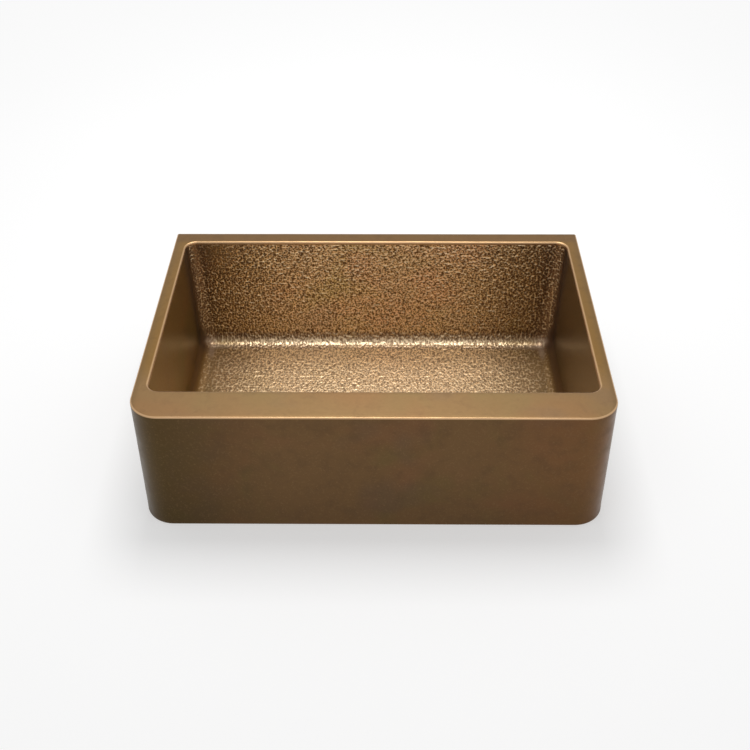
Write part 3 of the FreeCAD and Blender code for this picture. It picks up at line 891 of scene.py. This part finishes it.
def hammered_copper():
    """The bowl's inside: bright ridges between darker hammer marks, darker (painted shade) and plainer
    towards the sides.
    """
    paint = Paint("patina_copper_hammered", 0.93)
    marks, glint, sheet = paint.layer("marks"), paint.layer("glint"), paint.layer("sheet", "Vector")
    off_centre, darker_end_tone = paint.off_centre(), (0.300, 0.195, 0.085)

    # The rubbed sheet, darker towards the ends of the bowl and on its right.
    gold, olive, russet = (0.90, 0.635, 0.350), (0.77, 0.605, 0.275), (0.94, 0.570, 0.330)
    bright = tarnish(paint, gold, olive, russet, (0.75, 0.540, 0.350))
    ends = paint.ranged(paint.along("Z"), 0.01, 0.05, 0.80, 0.60)
    bright = paint.mix(paint.times(paint.ranged(off_centre, 0.13, 0.36), ends), bright, darker_end_tone)
    bright = paint.mix(paint.ranged(paint.along("X"), 0.16, 0.30, 0.0, 0.35), bright, darker_end_tone)

    # The plain sheet of the side walls: a darker copy of the copper as painted shade, darker still on the
    # right.
    brown, olive, russet = (0.250, 0.155, 0.040), (0.215, 0.155, 0.034), (0.275, 0.148, 0.040)
    side_wall_shade = tarnish(paint, brown, olive, russet, (0.195, 0.125, 0.048))
    side_wall_shade = paint.mix(paint.ranged(paint.along("X"), 0.20, 0.34, 0.0, 0.75), side_wall_shade, (0.155, 0.100, 0.046))
    # Hammered faces take the bright copy, the side walls the darker one: painted shade.
    base = paint.mix(paint.ranged(marks, 0.05, 0.5), side_wall_shade, bright)

    # The floor: painted light in its middle, painted shade in its far right corner, and a painted highlight
    # along the bend behind it.
    low = paint.ranged(paint.along("Z"), 0.007, 0.022, 1.0, 0.0)
    lit = paint.times(low, paint.ranged(off_centre, 0.14, 0.34, 0.9, 0.0))
    base = paint.mix(lit, base, (1.0, 0.79, 0.53))
    corner_shade = paint.times(paint.ranged(off_centre, 0.300, 0.335),
                              paint.ranged(paint.along("Y"), 0.170, 0.215, 0.0, 0.55))
    base = paint.mix(corner_shade, base, (0.175, 0.120, 0.110))
    base = paint.mix(paint.ranged(glint, 0.05, 0.9, 0.0, 0.55), base, (0.54, 0.44, 0.36))

    # Tarnish in the marks, bare metal on the ridges between them, fine grain, and painted shade along the
    # crease above the bend.
    dent = paint.cells(0.0044, sheet)
    strokes = paint.ranged(paint.noise(0.0048, 1.5, 0.5, where=sheet, distortion=0.8), 0.50, 0.42, 0.0, 0.95)
    worked = paint.times(marks, paint.ranged(glint, 0.0, 1.0, 1.0, 0.6))
    hammer_share = paint.ranged(worked, 0.05, 0.6)
    pits = paint.maths("MAXIMUM", paint.ranged(dent, 0.42, 0.20, 0.0, 0.72), strokes)
    pits = paint.times(paint.times(pits, hammer_share), paint.ranged(low, 0.0, 1.0, 1.0, 0.84))
    colour = paint.mix(pits, base, (0.135, 0.072, 0.030))
    worn = paint.times(paint.ranged(dent, 0.50, 0.66, 0.0, 0.6), hammer_share)
    colour = paint.mix(worn, colour, (1.0, 0.790, 0.510))
    fine = paint.noise(0.0035, 4.0, 0.65)
    colour = paint.mix(paint.ranged(fine, 0.46, 0.70, 0.0, 0.24), colour, (0.26, 0.150, 0.072))
    crease_shade = paint.ranged(paint.layer("crease_shade"), 0.05, 0.95, 0.0, 0.52)
    colour = paint.mix(crease_shade, colour, (0.17, 0.102, 0.060))
    colour = paint.mix(paint.ranged(paint.layer("inside"), 0.4, 0.6, 1.0, 0.0), colour, mill_scale(paint))

    grain = paint.ranged(fine, 0.4, 0.8, 0.0, 0.08)
    rough = paint.maths("ADD", paint.ranged(pits, 0.0, 0.9, 0.34, 0.45), grain)
    steep = paint.maths("MAXIMUM", paint.ranged(low, 0.0, 1.0, 1.0, 0.35), paint.ranged(glint, 0.0, 0.8))
    small = paint.bump(paint.times(paint.times(paint.times(dent, dent), worked), steep), 0.0018, 1.0)
    return paint.finish(colour, rough, paint.bump(paint.noise(0.0018, 2.0, 0.5), 0.00008, 0.35, small))


def plain_copper():
    """Sheet that stays out of sight."""
    paint = Paint("patina_copper_back", 0.85)
    scale = paint.noise(0.012, 6.0, 0.68)
    rough = paint.ranged(scale, 0.35, 0.7, 0.38, 0.58)
    return paint.finish(mill_scale(paint), rough, paint.bump(scale, 0.0002, 0.5))


def weld_copper():
    """The weld beads' rippled metal."""
    paint = Paint("copper_weld", 0.9)
    ripples = paint.noise(0.0022, 3.0, 0.6)
    colour = paint.mix(paint.ranged(ripples, 0.35, 0.7), (0.30, 0.16, 0.075), (0.13, 0.07, 0.04))
    return paint.finish(colour, paint.ranged(ripples, 0.3, 0.7, 0.3, 0.5), paint.bump(ripples, 0.0002, 0.6))


def turned_metal(name, light, dark, spread=(0.26, 0.42)):
    """Turned or drawn metal with a cloudy tarnish and fine rings, and its least and most roughness."""
    paint = Paint(name, 0.92)
    cloud = paint.noise(0.018, 5.0, 0.6)
    colour = paint.mix(paint.ranged(cloud, 0.38, 0.68), light, dark)
    fine = paint.noise(0.0014, 3.0, 0.6, stretch=(1.0, 1.0, 6.0))
    colour = paint.mix(paint.ranged(fine, 0.5, 0.8, 0.0, 0.3), colour, dark)
    return paint.finish(colour, paint.ranged(cloud, 0.3, 0.75, *spread), paint.bump(fine, 0.00005, 0.5))


def soft_material(name, light, dark, rough, grain, depth):
    """Rubber, fibre or putty: its two tones, its roughness, and its grain's size and depth in metres."""
    paint = Paint(name, 0.0)
    noise = paint.noise(grain, 5.0, 0.6)
    colour = paint.mix(paint.ranged(noise, 0.35, 0.68), light, dark)
    return paint.finish(colour, paint.ranged(noise, 0.3, 0.7, *rough), paint.bump(noise, depth, 0.6))


def dress(obj, material):
    """Gives a piece its one material."""
    obj.data.materials.clear()
    obj.data.materials.append(material)


# ---- stage


def floor_with_well():
    """A pale floor, open where the cabinet lets the drain through, with a dark well under the opening."""
    mesh = bmesh.new()
    rings = [[], [], []]
    for step in range(WELL_STEPS):
        angle = 2 * math.pi * (step + 0.5) / WELL_STEPS
        x, y = math.cos(angle), math.sin(angle)
        for ring, radius, z in zip(rings, (WELL_RADIUS, FLOOR_RADIUS, WELL_RADIUS), (0.0, 0.0, -WELL_DEPTH)):
            ring.append(mesh.verts.new((radius * x, radius * y, z)))
    inner, outer, deep = rings
    for step in range(WELL_STEPS):
        after = (step + 1) % WELL_STEPS
        mesh.faces.new((inner[step], outer[step], outer[after], inner[after]))
        mesh.faces.new((inner[after], deep[after], deep[step], inner[step]))
    mesh.faces.new(deep)
    data = bpy.data.meshes.new("floor")
    mesh.to_mesh(data)
    mesh.free()
    obj = bpy.data.objects.new("floor", data)
    bpy.context.scene.collection.objects.link(obj)
    return obj


def floor_material():
    """Pale matte paper. Where it is seen it glows a little, and more far away, so that it reads as white."""
    material = bpy.data.materials.new("pale_paper")
    nodes = Nodes(material)
    grain = nodes.node("TexNoise", {"Scale": PAPER_GRAIN}, "Fac")
    tone = nodes.node("MapRange", {"Value": grain, "To Min": PAPER_DARK, "To Max": PAPER_PALE}, "Result")
    away = nodes.node("VectorMath", {0: nodes.node("TexCoord", output="Object")}, "Value", operation="LENGTH")
    rising = nodes.ranged(away, GLOW_NEAR, GLOW_FAR, FLOOR_GLOW, FAR_GLOW)
    glow = nodes.node("Emission", {"Strength": nodes.times(nodes.shown(), rising)})
    both = nodes.node("AddShader", {0: nodes.node("BsdfDiffuse", {"Color": tone}), 1: glow})
    nodes.node("OutputMaterial", {"Surface": both})
    return material


def world():
    """A pale room: plain soft light, and near white where it is seen, directly or in metal."""
    sky = bpy.data.worlds.new("pale_room")
    bpy.context.scene.world = sky
    nodes = Nodes(sky)
    inputs = {"Value": nodes.shown(), "To Min": SKY_LIGHT, "To Max": SKY_SEEN}
    level = nodes.node("MapRange", inputs, "Result")
    light = nodes.node("Background", {"Color": (1.0, 1.0, 1.0), "Strength": level})
    nodes.node("OutputWorld", {"Surface": light})


def softbox():
    """A rectangular soft light above and behind the sink. Its radiance is how bright it looks in a mirror."""
    light = bpy.data.lights.new("overhead", "AREA")
    light.shape = "RECTANGLE"
    light.size, light.size_y = LAMP_SIZE
    light.energy = LAMP_RADIANCE * math.pi * LAMP_SIZE[0] * LAMP_SIZE[1]
    obj = bpy.data.objects.new("overhead", light)
    bpy.context.scene.collection.objects.link(obj)
    obj.location = LAMP_PLACE
    obj.rotation_euler = (Vector(LAMP_AIM) - Vector(LAMP_PLACE)).to_track_quat("-Z", "Y").to_euler()
    obj.visible_camera = False


def camera():
    """The photograph's camera, fitted to the sink's outline in it."""
    yaw, pitch, roll = CAMERA_TURN
    forward = Vector((math.sin(yaw) * math.cos(pitch), math.cos(yaw) * math.cos(pitch), -math.sin(pitch)))
    right = Vector((math.cos(yaw), -math.sin(yaw), 0.0))
    down = forward.cross(right)
    turned_right = math.cos(roll) * right + math.sin(roll) * down
    turned_down = -math.sin(roll) * right + math.cos(roll) * down
    rows = Matrix((turned_right, -turned_down, -forward)).transposed().to_4x4()
    data = bpy.data.cameras.new("camera")
    data.lens, data.sensor_width, data.clip_end = CAMERA_LENS, CAMERA_SENSOR, CAMERA_END
    obj = bpy.data.objects.new("camera", data)
    bpy.context.scene.collection.objects.link(obj)
    obj.matrix_world = Matrix.Translation(CAMERA_PLACE) @ rows
    bpy.context.scene.camera = obj


# ---- the scene

camera()
world()
floor = floor_with_well()
dress(floor, floor_material())
softbox()

smooth_metal, bowl_metal, back_metal = smooth_copper(), hammered_copper(), plain_copper()
dress(rim(), smooth_metal)
dress(apron(), smooth_metal)
for piece in lips():
    dress(piece, smooth_metal)
for piece in floor_pan():
    dress(piece, bowl_metal)
for side in ("front", "back", "left", "right"):
    dress(wall_panel(side), bowl_metal)
bead_metal = weld_copper()
for piece in welds():
    dress(piece, bead_metal)

drain_bronze = turned_metal("antique_bronze", (0.26, 0.155, 0.085), (0.10, 0.055, 0.032))
dress(knob(), drain_bronze)
brass = turned_metal("cast_brass", (0.50, 0.36, 0.16), (0.24, 0.16, 0.07), (0.36, 0.55))
steel = turned_metal("spring_steel", (0.50, 0.50, 0.51), (0.30, 0.30, 0.31))
for nodes, material in (
    (("apron_base_strip", "saddle_plate", "apron_gussets"), back_metal),
    (("strainer_body", "basket_cup", "lift_post", "stopper_washer"), drain_bronze),
    (("lock_nut",), brass),
    (("stopper_clip",), steel),
):
    for node in nodes:
        dress(frame["nodes"][node], material)
for node, *look in (
    ("rubber_gasket", "moulded_rubber", (0.03, 0.03, 0.031), (0.016, 0.016, 0.017), (0.62, 0.8), 0.004, 1e-4),
    ("stopper_disc", "stopper_rubber", (0.034, 0.033, 0.033), (0.018, 0.018, 0.018), (0.5, 0.7), 0.003, 1e-4),
    ("putty_seal", "set_putty", (0.46, 0.41, 0.33), (0.33, 0.29, 0.23), (0.75, 0.9), 0.004, 3e-4),
    ("friction_ring", "pressed_fibre", (0.22, 0.15, 0.09), (0.13, 0.09, 0.06), (0.8, 0.95), 0.0015, 2e-4),
    ("basket_bush", "moulded_bush", (0.045, 0.045, 0.046), (0.03, 0.03, 0.031), (0.4, 0.55), 0.003, 5e-5),
):
    dress(frame["nodes"][node], soft_material(*look))

bpy.context.scene.view_settings.view_transform = "Standard"
